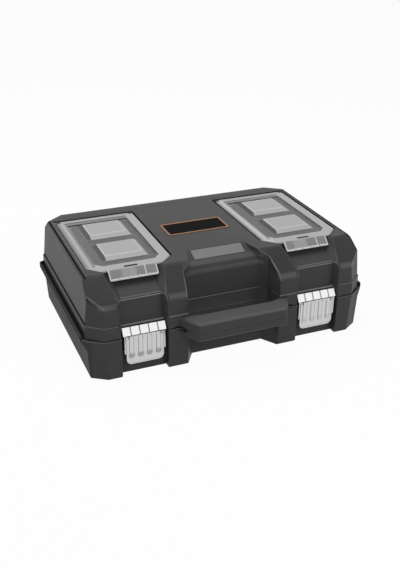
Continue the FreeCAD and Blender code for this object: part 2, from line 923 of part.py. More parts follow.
def thumb_pad():
    """A thin inlay lying on the scoop's slope."""
    run = scoop_back_depth - scoop_wall_depth
    length = math.hypot(run, scoop_slope_fall)
    along = (run / length, scoop_slope_fall / length)
    high = (front + scoop_back_depth - pad_inset * along[0], case_height - pad_inset * along[1])
    low = (high[0] - pad_length * along[0], high[1] - pad_length * along[1])
    lift = (-along[1] * pad_thickness, along[0] * pad_thickness)
    outline = [low, high, (high[0] + lift[0], high[1] + lift[1]), (low[0] + lift[0], low[1] + lift[1])]
    half = scoop_back_half - pad_side_inset
    return side_prism(outline, -half, half)


# Draw latch

def rib_places():
    first = latch_x - rib_spacing * (latch_ribs - 1) / 2
    return [first + rib_spacing * index for index in range(latch_ribs)]


def latch_lever():
    left = latch_x - lever_half
    right = latch_x + lever_half
    inside = latch_face + sheet
    plate = box(left, right, latch_face, inside, lever_bottom, pivot_height)
    lower = [e for e in plate.Edges if e.BoundBox.ZMax < lever_bottom + parting_gap
             and e.BoundBox.XLength < parting_gap]
    plate = plate.makeFillet(lever_corner, lower)
    dish = [
        (left + lever_border, lever_bottom + lever_border),
        (right - lever_border, lever_bottom + lever_border),
        (right - lever_border, pivot_height),
        (left + lever_border, pivot_height),
    ]
    bends = dict.fromkeys((0, 1), lever_corner - lever_border)
    plate = plate.cut(front_prism(dish, latch_face - overrun, latch_face + lever_dish, bends))
    curl = rod(left, right, pivot_y, pivot_height, lever_curl)
    for side in (-1, 1):
        ear = latch_x + side * (bracket_half - ear_thickness / 2)
        reach = ear_thickness / 2 + arm_gap
        high = pivot_height + lever_curl + overrun
        curl = curl.cut(box(ear - reach, ear + reach, inside, front + far,
                            pivot_height - lever_curl - overrun, high))
        top = box(ear - reach, ear + reach, latch_face - overrun, front + far, pivot_height, high)
        curl = curl.cut(top)
    flange = [
        (latch_face, bail_pivot_height - lever_flange_rise),
        (bail_y + bail_pin_radius + sheet, bail_pivot_height - lever_flange_rise),
        (bail_y + bail_pin_radius + sheet, bail_pivot_height + lever_flange_rise),
        (pivot_y + lever_curl / 2, pivot_height),
        (latch_face, pivot_height),
    ]
    shape = plate.fuse([curl, side_prism(flange, left, left + sheet), side_prism(flange, right - sheet, right)])
    for x in rib_places():
        low = lever_bottom + rib_end_margin
        rib = [(x - rib_width / 2, low), (x + rib_width / 2, low)]
        rib += [(x + rib_width / 2, pivot_height), (x - rib_width / 2, pivot_height)]
        bends = dict.fromkeys((0, 1), rib_width / 2 - parting_gap)
        shape = shape.fuse(front_prism(rib, latch_face + lever_dish - rib_rise, inside, bends))
    shape = shape.cut(rod(left - overrun, right + overrun, pivot_y, pivot_height,
                          lever_pin_radius + running_clearance))
    bore = rod(left - overrun, right + overrun, bail_y, bail_pivot_height, bail_pin_radius + press_clearance)
    return shape.cut(bore).removeSplitter()


def strip_place(height):
    """Depth of the strip's front face at a height."""
    share = (height - strip_low) / (strip_high - strip_low)
    return front - strip_low_proud + strip_lean * share


def latch_bail():
    """The strip that pulls on the lid, and its two arms down to the lever."""
    rise = strip_high - strip_low
    length = math.hypot(rise, strip_lean)
    back_y = sheet * rise / length
    back_z = -sheet * strip_lean / length
    low = (strip_place(strip_low), strip_low)
    high = (strip_place(strip_high), strip_high)
    outline = [low, high, (high[0] + back_y, high[1] + back_z), (low[0] + back_y, low[1] + back_z)]
    shape = side_prism(outline, latch_x - strip_half, latch_x + strip_half)
    for x in rib_places():
        raised = [low, (low[0] - rib_rise, low[1] + rib_rise), (high[0] - rib_rise, high[1] - rib_rise), high]
        shape = shape.fuse(side_prism(raised, x - strip_rib_width / 2, x + strip_rib_width / 2))
    top = strip_low + strip_arm_overlap
    arm = [
        (latch_face, bail_pivot_height - arm_end),
        (front + arm_back_depth, bail_pivot_height - arm_end),
        (front + arm_back_depth, top),
        (strip_place(top) + sheet / 2, top),
        (strip_place(strip_low) + sheet / 2, strip_low),
    ]
    for side in (-1, 1):
        near = latch_x + side * (lever_half + arm_gap)
        away = near + side * arm_thickness
        shape = shape.fuse(side_prism(arm, min(near, away), max(near, away)))
    left = latch_x - strip_half - overrun
    right = latch_x + strip_half + overrun
    bore = rod(left, right, bail_y, bail_pivot_height, bail_pin_radius + running_clearance)
    return shape.cut(bore).removeSplitter()


def lever_pin():
    return rod(latch_x - lever_half, latch_x + lever_half, pivot_y, pivot_height, lever_pin_radius)


def bail_pins():
    """The two short rivets between lever and arms, as separate solids."""
    inner = lever_half - sheet - bail_pin_head
    outer = lever_half + arm_gap + arm_thickness + bail_pin_head
    right = rod(latch_x + inner, latch_x + outer, bail_y, bail_pivot_height, bail_pin_radius)
    left = rod(latch_x - outer, latch_x - inner, bail_y, bail_pivot_height, bail_pin_radius)
    return Part.makeCompound([left, right])


def latch_bracket():
    rear = front + base_bay_depth
    shape = box(latch_x - bracket_half, latch_x + bracket_half, rear - sheet, rear, bracket_low,
                base_high - bracket_top_gap)
    for side in (-1, 1):
        away = latch_x + side * bracket_half
        near = away - side * ear_thickness
        left = min(near, away)
        right = max(near, away)
        shape = shape.fuse(rod(left, right, pivot_y, pivot_height, ear_end_radius))
        shape = shape.fuse(box(left, right, pivot_y, rear - sheet / 2, pivot_height - ear_end_radius,
                               pivot_height + ear_end_radius - bracket_top_gap))
    shape = shape.cut(rod(latch_x - lever_half, latch_x + lever_half, pivot_y, pivot_height,
                          lever_pin_radius + press_clearance))
    return shape.cut(rivet_bores()).removeSplitter()


def rivet_places():
    return (latch_x - rivet_spacing / 2, latch_x + rivet_spacing / 2)


def rivet_bores():
    bores = []
    for x in rivet_places():
        bores.append(stud(x, rivet_height, front, front + base_bay_depth + wall + overrun,
                          rivet_radius + press_clearance))
    return bores[0].fuse(bores[1])


def bracket_rivets():
    """Two rivets, each with a head on the bracket and a head inside the base."""
    rivets = []
    face = front + base_bay_depth - sheet
    inside = front + base_bay_depth + wall
    for x in rivet_places():
        shank = stud(x, rivet_height, face - rivet_head, inside + rivet_head, rivet_radius)
        heads = [
            stud(x, rivet_height, face - rivet_head, face, rivet_head_radius),
            stud(x, rivet_height, inside, inside + rivet_head, rivet_head_radius),
        ]
        rivets.append(shank.fuse(heads).removeSplitter())
    return Part.makeCompound(rivets)


# Every piece goes to its own file

def save(name, shape):
    shape.exportStep("parts/" + name + ".step")
    print(name, "solids", len(shape.Solids), "valid", shape.isValid(), "volume", round(shape.Volume))


def main():
    os.makedirs("parts", exist_ok=True)
    save("base_shell", base_shell())
    save("lid_shell", lid_shell())
    save("label_frame", label_frame())
    save("label_plate", label_plate())
    save("thumb_pad", thumb_pad())
    pairs = {
        "lid_hinge_pin": hinge_pin(),
        "organiser_cover": organiser_cover(),
        "organiser_tray": organiser_tray(),
        "organiser_divider": organiser_divider(),
        "cover_hinge_pin": cover_pin(),
        "latch_lever": latch_lever(),
        "latch_bail": latch_bail(),
        "lever_pin": lever_pin(),
        "bail_pins": bail_pins(),
        "latch_bracket": latch_bracket(),
        "bracket_rivets": bracket_rivets(),
    }
    for name, shape in pairs.items():
        save(name + "_right", shape)
        save(name + "_left", mirrored(shape))


main()
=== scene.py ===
# %% [markdown]
# # A moulded tool case, dressed for the camera
# The frame holds the case as its maker would draw it: a base, a hinged lid, two organiser wells with
# clear covers, two draw latches and a carrying handle. This lesson gives it soft moulded edges,
# finishes and light. Everything is in metres, and every piece stays where the frame has it.

# %% Load the frame
import math
from types import SimpleNamespace

import bmesh
import bpy
import numpy as np
from mathutils import Matrix, Vector
from mathutils.kdtree import KDTree


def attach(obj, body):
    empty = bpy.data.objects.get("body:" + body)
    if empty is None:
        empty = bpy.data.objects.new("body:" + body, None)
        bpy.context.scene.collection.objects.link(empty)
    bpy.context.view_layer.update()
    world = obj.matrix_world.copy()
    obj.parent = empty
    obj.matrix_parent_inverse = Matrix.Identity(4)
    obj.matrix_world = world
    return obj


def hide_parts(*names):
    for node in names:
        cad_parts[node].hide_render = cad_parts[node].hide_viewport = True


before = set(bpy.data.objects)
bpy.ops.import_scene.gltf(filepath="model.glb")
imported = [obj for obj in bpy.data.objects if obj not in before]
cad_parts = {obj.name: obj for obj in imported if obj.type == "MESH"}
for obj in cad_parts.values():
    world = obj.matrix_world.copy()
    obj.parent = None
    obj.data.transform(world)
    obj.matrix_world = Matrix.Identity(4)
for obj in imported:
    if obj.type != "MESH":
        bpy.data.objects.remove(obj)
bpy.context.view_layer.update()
scene = bpy.context.scene
scene.view_settings.view_transform = "Standard"

# %% [markdown]
# ## The camera
# The picture was taken from the front left and a little above. The view is given as a place to look
# at, two angles, a distance and a slight roll, because these are easier to judge than a matrix.

# %% Place the camera
look_at = Vector((0.001152, 0.001106, 0.045443))
azimuth = math.radians(-22.672)
elevation = math.radians(26.801)
distance = 1.14398
roll = math.radians(0.576)
focal_length = 50.38

back = Vector((math.sin(azimuth) * math.cos(elevation),
               -math.cos(azimuth) * math.cos(elevation),
               math.sin(elevation)))
side = Vector((0, 0, 1)).cross(back).normalized()
up = back.cross(side)
right = side * math.cos(roll) + up * math.sin(roll)
upward = up * math.cos(roll) - side * math.sin(roll)
turn = Matrix((right, upward, back)).transposed().to_4x4()

lens = bpy.data.cameras.new("camera")
lens.lens = focal_length
camera = bpy.data.objects.new("camera", lens)
camera.matrix_world = Matrix.Translation(look_at + back * distance) @ turn
scene.collection.objects.link(camera)
scene.camera = camera
print("camera at", [round(v, 3) for v in camera.matrix_world.translation])

# %% [markdown]
# ## Sums with sockets
# A finish is a small sum: this much grain, that much darker in the groove. Wiring Math nodes by hand
# hides the sum, so one class wraps an output socket and lets Python's own signs add the nodes. Most
# masks are soft steps along one axis, so the class has methods for these. They take one or two limits
# and the half width of the soft edge.

# %% A socket that takes part in sums
class Wire:
    """One output socket of a node tree. Signs add Math nodes, and node() adds any other node."""

    def __init__(self, tree, socket=None):
        self.tree = tree
        self.socket = socket

    def node(self, kind, settings, values, output=0):
        made = self.tree.nodes.new(kind)
        for name, value in settings.items():
            setattr(made, name, value)
        for name, value in values.items():
            if isinstance(value, Wire):
                self.tree.links.new(value.socket, made.inputs[name])
            else:
                made.inputs[name].default_value = value
        return Wire(self.tree, made.outputs[output])

    def maths(self, operation, *values):
        return self.node("ShaderNodeMath", {"operation": operation}, dict(enumerate(values)))

    def __add__(self, other):
        return self.maths("ADD", self, other)

    __radd__ = __add__

    def __sub__(self, other):
        return self.maths("SUBTRACT", self, other)

    def __rsub__(self, other):
        return self.maths("SUBTRACT", other, self)

    def __mul__(self, other):
        return self.maths("MULTIPLY", self, other)

    __rmul__ = __mul__

    def __truediv__(self, other):
        return self.maths("DIVIDE", self, other)

    def __abs__(self):
        return self.maths("ABSOLUTE", self)

    def least(self, other):
        return self.maths("MINIMUM", self, other)

    def most(self, other):
        return self.maths("MAXIMUM", self, other)

    def above(self, level, width):
        """0 below a level and 1 above it, with a soft edge of this half width."""
        values = {"Value": self, "From Min": level - width, "From Max": level + width}
        return self.node("ShaderNodeMapRange", {"clamp": True, "interpolation_type": "SMOOTHSTEP"}, values)

    def below(self, level, width):
        return 1 - self.above(level, width)

    def between(self, low, high, width):
        return self.above(low, width) * self.below(high, width)

    def limited(self):
        """The same value, held between 0 and 1."""
        return self.node("ShaderNodeClamp", {}, {"Value": self})

    def mix(self, first, second):
        """A colour between two others, by this wire's value."""
        return self.node("ShaderNodeMix", {"data_type": "RGBA"}, {0: self, 6: first, 7: second}, 2)

    def feed(self, shader, socket):
        self.tree.links.new(self.socket, shader.inputs[socket])


print("sockets can be added, multiplied and mixed")

# %% [markdown]
# ## Tools for a finish
# Every finish starts alike, with a main shader and the object's own coordinates. Noise gives it grain, and
# layers of grey are laid on where their masks are, as a painter would do it.

# %% Start a finish, add grain, paint layers
def start_finish(name, **constants):
    """A new material, its main shader with its fixed values set, and wires for place and its three axes."""
    material = bpy.data.materials.new(name)
    material.use_nodes = True
    tree = material.node_tree
    shader = tree.nodes["Principled BSDF"]
    for socket, value in constants.items():
        shader.inputs[socket.replace("_", " ")].default_value = value
    place = Wire(tree).node("ShaderNodeTexCoord", {}, {}, "Object")
    split = tree.nodes.new("ShaderNodeSeparateXYZ")
    tree.links.new(place.socket, split.inputs[0])
    axes = [Wire(tree, output) for output in split.outputs]
    return material, shader, place, axes


def noise(place, scale, detail=2.0):
    return place.node("ShaderNodeTexNoise", {}, {"Vector": place, "Scale": scale, "Detail": detail}, "Fac")


def painted_edge_highlights(place):
    """1 on the faces that were marked for a painted edge highlight when the edges were rounded."""
    return place.node("ShaderNodeAttribute", {"attribute_name": "painted_edge_highlight"}, {}, "Fac")


def bumped(shader, height, strength, depth):
    values = {"Height": height, "Strength": strength, "Distance": depth}
    height.node("ShaderNodeBump", {}, values, "Normal").feed(shader, "Normal")


def grey(level):
    return (level, level, level, 1)


def painted(colour, *layers):
    """A colour under layers, each a mask and its grey, or a mask and a colour's wire."""
    for mask, layer in layers:
        colour = mask.limited().mix(colour, layer if isinstance(layer, Wire) else grey(layer))
    return colour


print("finishes can be started")

# %% [markdown]
# ## The case's plastic
# Base and lid are moulded in a dark grey plastic with a fine grain. It isn't one grey all over: shade is
# painted nearly black into the grooves, highlights are painted paler on edges and bends, and the slopes at
# the front are painted darker as shade. A painted image could hold all this, but masks made from the
# object's own coordinates stay sharp and need no unwrapping.
# Each place is named with its one or two limits and, last, the half width of its soft edge.

# %% [markdown]
# ### Painted shade in the grooves
# Shade is painted nearly black in the groove above the side bead, in the gutter behind the base's lip and
# along the edge of the top, from where a thin painted dark line runs down the front corner. That corner is
# slanted, so its mask is the distance below the plane of the front slope.

# %% Where shade in the grooves is painted nearly black
bead_level = 0.0745
top_level = 0.129
groove_side = (0.1935, 0.1955, 0.0003)
groove_height = (bead_level - 0.0004, 0.0778, 0.0003)
groove_front = (-0.1030, 0.001)
gutter_side = (0.1900, 0.2003, 0.0003)
gutter_height = (0.0550, 0.0668, 0.0014)
gutter_front = (-0.1035, 0.001)
edge_side = (0.1850, 0.1877, 0.0003)
edge_height = (top_level - 0.0034, top_level + 0.001, 0.0004)
top_front = (-0.0830, 0.002)
slope_along = 0.57
slope_up = 0.82
slope_reach = 0.1516
corner_depth = (0.0003, 0.0042, 0.0008)
corner_side = (0.1885, 0.1925, 0.0004)
corner_foot = (0.1050, 0.002)


# Painted shade: nearly black in the bead groove, the gutter and along the top's edge, weaker down the front
# corner.
def painted_groove_shade(across, y, z):
    bead = z.between(*groove_height) * across.between(*groove_side) * y.above(*groove_front)
    gutter = z.between(*gutter_height) * across.between(*gutter_side) * y.above(*gutter_front)
    top_edge = z.between(*edge_height) * across.between(*edge_side) * y.above(*top_front)
    below_slope = slope_reach + y * slope_along - z * slope_up
    corner = below_slope.between(*corner_depth) * across.between(*corner_side)
    corner = corner * y.below(*top_front) * z.above(*corner_foot)
    return bead + top_edge + gutter * 0.9 + corner * 0.6


print("grooves between", bead_level, "and", top_level)

# %% [markdown]
# ### Gaps round the covers
# Each cover lies in a pocket, with a narrow channel at its sides and behind its hinge. The channels are
# painted dark as shade, but the left cover's outer one, which faces the light, is painted pale as light.
# Behind the hinge the painted shade runs a little way onto the top.

# %% Where shade and light are painted in the covers' gaps
middle = (0.0, 0.001)
cover_side = (0.0659, 0.1790)
gap_width = 0.0024
inner_gap = (cover_side[0] - gap_width - 0.0005, cover_side[0] + 0.0004, 0.0002)
outer_gap = (cover_side[1] - 0.0004, cover_side[1] + gap_width + 0.0005, 0.0002)
gap_length = (-0.0580, 0.1049, 0.0004)
hinge_gap = (0.1017, 0.1085, 0.0005)
hinge_width = (cover_side[0] - gap_width, cover_side[1] + gap_width, 0.0003)
gap_height = (top_level - 0.00265, 0.0001)


def cover_gaps(x, across, y, z):
    """Masks of the gaps painted dark as shade and of the one painted pale as light."""
    on_right = x.above(*middle)
    inner = across.between(*inner_gap)
    outer = across.between(*outer_gap)
    beside = y.between(*gap_length)
    behind = y.between(*hinge_gap) * across.between(*hinge_width)
    near_top = z.above(*gap_height)
    dark = ((inner + outer * on_right) * beside + behind) * near_top
    pale = outer * (1 - on_right) * beside * near_top
    return dark, pale


print("gaps", gap_width, "wide")

# %% [markdown]
# ### Areas of the case
# The other masks share a few areas: the pillars beside the latch bays, the handle, the scoop behind it, and
# the base's sides with their lip.

# %% Name the areas
front_face = (-0.1015, 0.001)
beside_scoop = (0.0600, 0.001)
bay_width = (0.0895, 0.1570, 0.0005)
handle_rear = (-0.1245, 0.001)
handle_side = (0.0720, 0.003)
scoop_side = (0.0550, 0.002)
scoop_length = (-0.0880, -0.0700, 0.001)
base_side = (0.1900, 0.001)
base_top = (0.0548, 0.0006)
lip_side = (0.2006, 0.0003)
lip_height = (0.0548, 0.0630, 0.0005)


def case_areas(across, y, z):
    front = y.below(*front_face)
    beside_bays = across.above(*beside_scoop) * (1 - across.between(*bay_width))
    return SimpleNamespace(
        front=front,
        beside_bays=beside_bays,
        pillars=front * beside_bays,
        handle=y.below(*handle_rear) * across.below(*handle_side),
        scoop=across.below(*scoop_side) * y.between(*scoop_length),
        base_side=across.above(*base_side) * z.below(*base_top),
        lip=across.above(*lip_side) * z.between(*lip_height),
    )


print("areas named")

# %% [markdown]
# ### Painted highlights and shade
# Painted highlights lie on the bends of the pillars, the handle's top, and the bend and slope below the
# thumb pad. Fine lines of painted highlight follow the step across the pillars, the edge of the corner
# chamfers and the handle's front edge. The front slopes, the rear edge, the crease below the pad, the
# base's sides and the lip are painted darker as shade.

# %% Where highlights and shade are painted on the case
pillar_bend = (0.0975, 0.1035, 0.0025)
pillar_face = (-0.1130, 0.002)
grip_top = (0.0690, 0.0012)
grip_line_front = (-0.1466, 0.0004)
grip_line_height = (0.0702, 0.0004)
pad_bend = (0.1086, 0.1142, 0.0013)
pad_crease = (0.1155, 0.1182, 0.0008)
pad_slope = (0.1186, 0.1222, 0.0008)
step_height = (bead_level - 0.0008, bead_level + 0.0006, 0.0003)
chamfer_rise = 0.776
chamfer_start = 0.1022 - 0.1766 * chamfer_rise
chamfer_width = (-0.0013, 0.0009, 0.0004)
chamfer_side = (0.1735, 0.1912, 0.0008)
slope_height = (0.1035, 0.1272, 0.0012)
slope_rear = (-0.0790, 0.002)
slope_side = (0.1898, 0.0004)
rear_edge = (0.1120, 0.0015)
rear_height = (0.1200, 0.002)


# Painted highlights on the bends of the pillars, the handle's top, and the bend and slope below the thumb
# pad.
def painted_highlights(area, y, z):
    bends = area.pillars * z.between(*pillar_bend) * y.below(*pillar_face)
    grip = area.handle * z.above(*grip_top)
    pad = z.between(*pad_bend) * 0.55 + z.between(*pad_slope) * 0.4
    return bends * 0.85 + grip * 0.6 + area.scoop * pad


# Painted highlight lines along the step, the chamfer edges and the handle's front edge.
def painted_highlight_lines(area, across, y, z):
    step = area.pillars * z.between(*step_height)
    over_chamfer = z - across * chamfer_rise - chamfer_start
    chamfer = area.front * over_chamfer.between(*chamfer_width) * across.between(*chamfer_side)
    grip = area.handle * y.below(*grip_line_front) * z.above(*grip_line_height)
    return step * 0.5 + chamfer * 0.75 + grip * 0.15


# Painted shade: the front slopes, the rear edge, the crease below the pad, the base's sides and the lip are
# darkened.
def painted_shade(area, across, y, z):
    slopes = area.beside_bays * z.between(*slope_height) * y.below(*slope_rear)
    slopes = slopes * across.below(*slope_side)
    rear = y.above(*rear_edge) * z.above(*rear_height)
    crease = area.scoop * z.between(*pad_crease)
    return slopes * 0.27 + rear * 0.25 + crease * 0.15 + area.base_side * 0.15 + area.lip * 0.6


print("pillars bend between", pillar_bend[0], "and", pillar_bend[1])

# %% [markdown]
# ### The plastic itself
# The finish puts the masks together. A slow noise lets the grey drift, a fine one mottles it, and two more
# make the moulded grain as bump. Little gloss is left, because the wide white world would turn steep faces
# pale. The painted edge highlights are fainter near the top, on the handle's lower half and on the lip.

# %% Dark moulded plastic
faint_top = (0.116, 0.005)
faint_handle = (0.0565, 0.0005)


def case_finish():
    material, shader, place, (x, y, z) = start_finish("dark_moulded_plastic", Specular_IOR_Level=0.12)
    across = abs(x)
    drift = noise(place, 14, 3)
    mottle = noise(place, 420)
    highlit_edges = painted_edge_highlights(place)
    area = case_areas(across, y, z)
    gap_shade, painted_light_gap = cover_gaps(x, across, y, z)
    groove_shade = (painted_groove_shade(across, y, z) + gap_shade).limited()

    # Painted edge highlights, fainter near the top, on the handle's lower half and on the lip.
    highlight_strength = (0.6 + mottle * 0.6) * (1 - z.above(*faint_top) * 0.55)
    highlight_strength = highlight_strength * (1 - area.handle * z.below(*faint_handle) * 0.6) * (1 - area.lip * 0.75)
    # Random drift and mottle in the grey, painted darker as shade where the front slopes, rear edge,
    # crease, base's sides and lip are.
    tone = (0.90 + drift * 0.14 + mottle * 0.06) * (1 - painted_shade(area, across, y, z))
    plain = tone.mix(grey(0.0), (0.0475, 0.0475, 0.048, 1))
    # The layers are painted highlights, painted highlight lines, painted light in one gap, and painted
    # shade in the grooves and the other gaps.
    colour = painted(plain,
                     (painted_highlights(area, y, z), 0.098),
                     (highlit_edges * highlight_strength + painted_highlight_lines(area, across, y, z), 0.17),
                     (painted_light_gap, 0.19),
                     (groove_shade * 0.93, 0.004))
    colour.feed(shader, "Base Color")
    matt = groove_shade * 0.4 + area.base_side * 0.2 + area.lip * 0.4
    (0.36 + drift * 0.10 + mottle * 0.06 - highlit_edges * 0.08 + matt).feed(shader, "Roughness")
    bumped(shader, noise(place, 1500) + noise(place, 600, 1) * 0.6, 0.18, 0.0002)
    return material


case_plastic = case_finish()
print("made", case_plastic.name, "with", len(case_plastic.node_tree.nodes), "nodes")

# %% [markdown]
# ## The wells' plastic
# The organiser wells and their dividers are a smoother, darker moulding than the case.

# %% Smooth dark plastic
def well_finish():
    material, shader, place = start_finish("smooth_well_plastic", Specular_IOR_Level=0.35)[:3]
    drift = noise(place, 30)
    (0.85 + drift * 0.3).mix(grey(0.0), grey(0.035)).feed(shader, "Base Color")
    (0.36 + drift * 0.12).feed(shader, "Roughness")
    bumped(shader, noise(place, 900), 0.12, 0.0002)
    return material


well_plastic = well_finish()
print("made", well_plastic.name)

# %% [markdown]
# ## The covers' frosted plastic
# The covers are clear plastic with a frosted face. The thick rim looks pale, the thin window lets the dark
# well through, and the tops of the raised panels are pale again. Real clear plastic would need many
# bounces of light, so Alpha and colour carry these differences by place.

# %% Measure the covers
window_side = (0.0789, 0.1660)
window_span = (-0.0590, 0.0860)
window_level = 0.1282
bead_top = 0.1289
panel_top = 0.1332
latch_centre = 0.12305
print("windows from", window_side[0], "to", window_side[1])

# %% [markdown]
# ### Rim, window and panels
# Both covers are lit from the same side, so distances are taken from the window's left, right, front and
# rear as someone in front of the case sees them. A wall that turns from the light has a line of painted
# shade beside it, and one that faces it a line of painted light. The frame's rim is wider at the left and
# rear than in the picture, so a stretch of it is darkened there and only looks like window, with a line of
# painted shade at the rear. The rim's outer left shoulder is painted dark as shade. The steep left sides of
# the panels turn from the light and are painted dark as shade, and so is the bead beside the walls that
# turn from the light.

# %% Name the places on a cover
window_edge = 0.0004
field_height = (window_level + 0.0004, 0.0003)
wall_height = (window_level + 0.0003, window_level + 0.0010, 0.0002)
slope_of_panel = (window_level + 0.0004, panel_top - 0.0004, 0.0003)
panel_height = (panel_top - 0.0004, 0.0003)
panel_left = (0.0105, 0.0181, 0.0003)
wall_width = (0.0006, 0.0003)
dark_line = (0.0018, 0.0004)
pale_line = (0.0021, 0.0034, 0.0004)
lit_line = (0.0014, 0.0004)
bead_band = (0.0012, 0.0066, 0.0003)
bead_height = (window_level + 0.0003, bead_top + 0.0002, 0.0001)
bead_shade = (0.0032, 0.0004)
thin_left = (-0.0030, 0.0016)
thin_rear = (-0.0080, 0.0005)
thin_end = (0.0, 0.0004)
thin_line = (-0.0052, 0.0006)
left_shoulder = (-0.1752, 0.0036)
right_shoulder = (0.0686, 0.0032)
shoulder_front = (-0.060, 0.006)
bright_side = (0.0800, 0.003)
shallow_side = (0.016, 0.018)
print("panels stand", round(panel_top - window_level, 4), "above the window")

# %% Masks on the window and its rim
def window_places(x, y, z):
    across = abs(x)
    on_right = x.above(*middle)
    both_sides = window_side[0] + window_side[1]
    from_left = x + window_side[1] - on_right * both_sides
    from_right = on_right * both_sides - window_side[0] - x
    from_front = y - window_span[0]
    from_rear = window_span[1] - y
    border = from_left.least(from_right).least(from_rear).least(from_front)
    shaded = from_right.least(from_rear * 0.42)
    lit = from_left.least(from_front * 0.5)
    window = across.between(*window_side, window_edge) * y.between(*window_span, window_edge)
    field = window * z.below(*field_height)
    wall = window * z.between(*wall_height) * shaded.below(*wall_width)
    thin_rim = from_left.above(*thin_left) * from_rear.above(*thin_rear)
    thin_rim = thin_rim * from_right.above(*thin_end) * from_front.above(*thin_end) * (1 - window)
    shoulder = x.below(*left_shoulder) + on_right * x.below(*right_shoulder)
    return SimpleNamespace(
        window=window,
        field=field,
        slope=window * z.between(*slope_of_panel),
        panel=z.above(*panel_height),
        left_slope=from_left.between(*panel_left),
        dark_line=field * shaded.below(*dark_line) + wall,
        pale_line=field * (shaded.between(*pale_line) + lit.below(*lit_line)),
        bead=border.between(*bead_band) * z.between(*bead_height),
        bead_light=shaded.above(*bead_shade),
        thin_rim=thin_rim,
        thin_rim_line=thin_rim * from_rear.below(*thin_line),
        shoulder=shoulder * y.above(*shoulder_front),
        bright_rim=on_right * x.below(*bright_side),
        shallow=from_left.below(*shallow_side),
    )


print("window masks ready")

# %% [markdown]
# ### The snap tab
# In front of each cover hangs a clear tab with a pale frame, a spine and a clearer middle. Behind it a slot
# goes through the rim, and the slot and a little round it are painted nearly black as shade.

# %% Masks on the tab
tab_rear = (-0.0742, 0.0003)
tab_front = (-0.0842, 0.0003)
tab_inside = (0.0927, 0.1534, 0.0003)
slot_width = (latch_centre - 0.0088, latch_centre + 0.0088, 0.0002)
slot_length = (-0.0716, -0.0672, 0.0003)
left_spine = (-0.1077, -0.1064, 0.0002)
right_spine = (0.1384, 0.1397, 0.0002)
left_pane = (-0.138, -0.119, 0.003)
right_pane = (0.104, 0.124, 0.003)


def tab_places(x, y):
    across = abs(x)
    tab = y.below(*tab_rear)
    spine = tab * (x.between(*left_spine) + x.between(*right_spine))
    border = tab * (1 - across.between(*tab_inside)) + tab * y.below(*tab_front)
    return SimpleNamespace(
        # The slot and a little round it, painted nearly black as shade.
        slot=across.between(*slot_width) * y.between(*slot_length),
        frame=border + spine,
        pane=(tab - border - spine).limited(),
        clear=x.between(*left_pane) + x.between(*right_pane),
    )


print("tab masks ready")

# %% [markdown]
# ### The frosted plastic itself
# The layers go on from the rim to the tab. The window and the tab's panes are the most see-through.

# %% Frosted clear plastic
def cover_finish():
    material, shader, place, (x, y, z) = start_finish("frosted_clear_plastic", Specular_IOR_Level=0.35)
    cloud = noise(place, 60, 3)
    speck = noise(place, 900)
    on = window_places(x, y, z)
    tab = tab_places(x, y)
    rim = on.bright_rim.mix(grey(0.365), grey(0.45))
    field = (on.shallow * (0.8 + cloud * 0.4)).mix(grey(0.110), grey(0.130))
    # The bead is painted dark as shade beside the walls that turn from the light.
    bead = on.bead_light.mix(grey(0.05), grey(0.15))
    # Painted layers: shade on the rim's left shoulder, on the panels' left sides and beside walls turned
    # from the light; light beside walls that face it.
    colour = painted(rim,
                     (on.shoulder * 0.85, 0.10),
                     (on.thin_rim, 0.16),
                     (on.thin_rim_line, 0.05),
                     (on.field, field),
                     (on.slope, 0.46),
                     (on.slope * on.left_slope * 0.95, 0.04),
                     (on.bead, bead),
                     (on.pale_line * 0.75, 0.36),
                     (on.dark_line, 0.045),
                     (on.panel, 0.345),
                     # Painted highlights on the bevelled edges in the window, not on the panels' shaded
                     # left sides.
                     (painted_edge_highlights(place) * on.window * (1 - on.left_slope) * 0.7, 0.52),
                     (tab.pane * (0.8 + speck * 0.2), 0.22),
                     (tab.pane * tab.clear * (0.7 + cloud * 0.3), 0.36),
                     (tab.frame, 0.58),
                     (tab.slot, 0.012))
    colour.feed(shader, "Base Color")
    (0.95 - on.field * 0.18 - on.slope * 0.12 - tab.pane * 0.12 + cloud * 0.03).feed(shader, "Alpha")
    (0.30 + cloud * 0.14).feed(shader, "Roughness")
    bumped(shader, speck, 0.10, 0.0002)
    return material


cover_plastic = cover_finish()
print("made", cover_plastic.name, "with", len(cover_plastic.node_tree.nodes), "nodes")

# %% [markdown]
# ## Metals
# Each latch is two pressings of bright zinc-plated sheet. The strip shines nearly white, and the lever
# is duller. On the lever a dark line of painted shade runs at both sides of each rib, and a patch of
# painted shade lies at its foot, fainter on the right latch. On the strip there is one painted shade line
# for each rib, and its foot is painted darker as shade. A mirror shows no dark lines of its own, so the
# painted lines aren't metallic. The ribs repeat, so a fraction of the distance across the latch draws all
# of them at once.

# %% Zinc sheet
rib_pitch = 0.0119
rib_half = 0.0028
whole_steps = 4.0
rib_foot = (0.0275, 0.002)
line_edge = 0.00025
foot_shade_level = 0.0288
foot_shade_size = (0.0046, 0.0044)
foot_shade_fade = (0.8, 0.7)
strip_foot = (0.0577, 0.0004)


def rib_distance(across):
    """Distance from the middle of the nearest rib. A few whole steps keep the fraction above zero."""
    steps = (across - latch_centre) / rib_pitch + whole_steps
    return abs(steps.maths("FRACT", steps) - 0.5) * rib_pitch


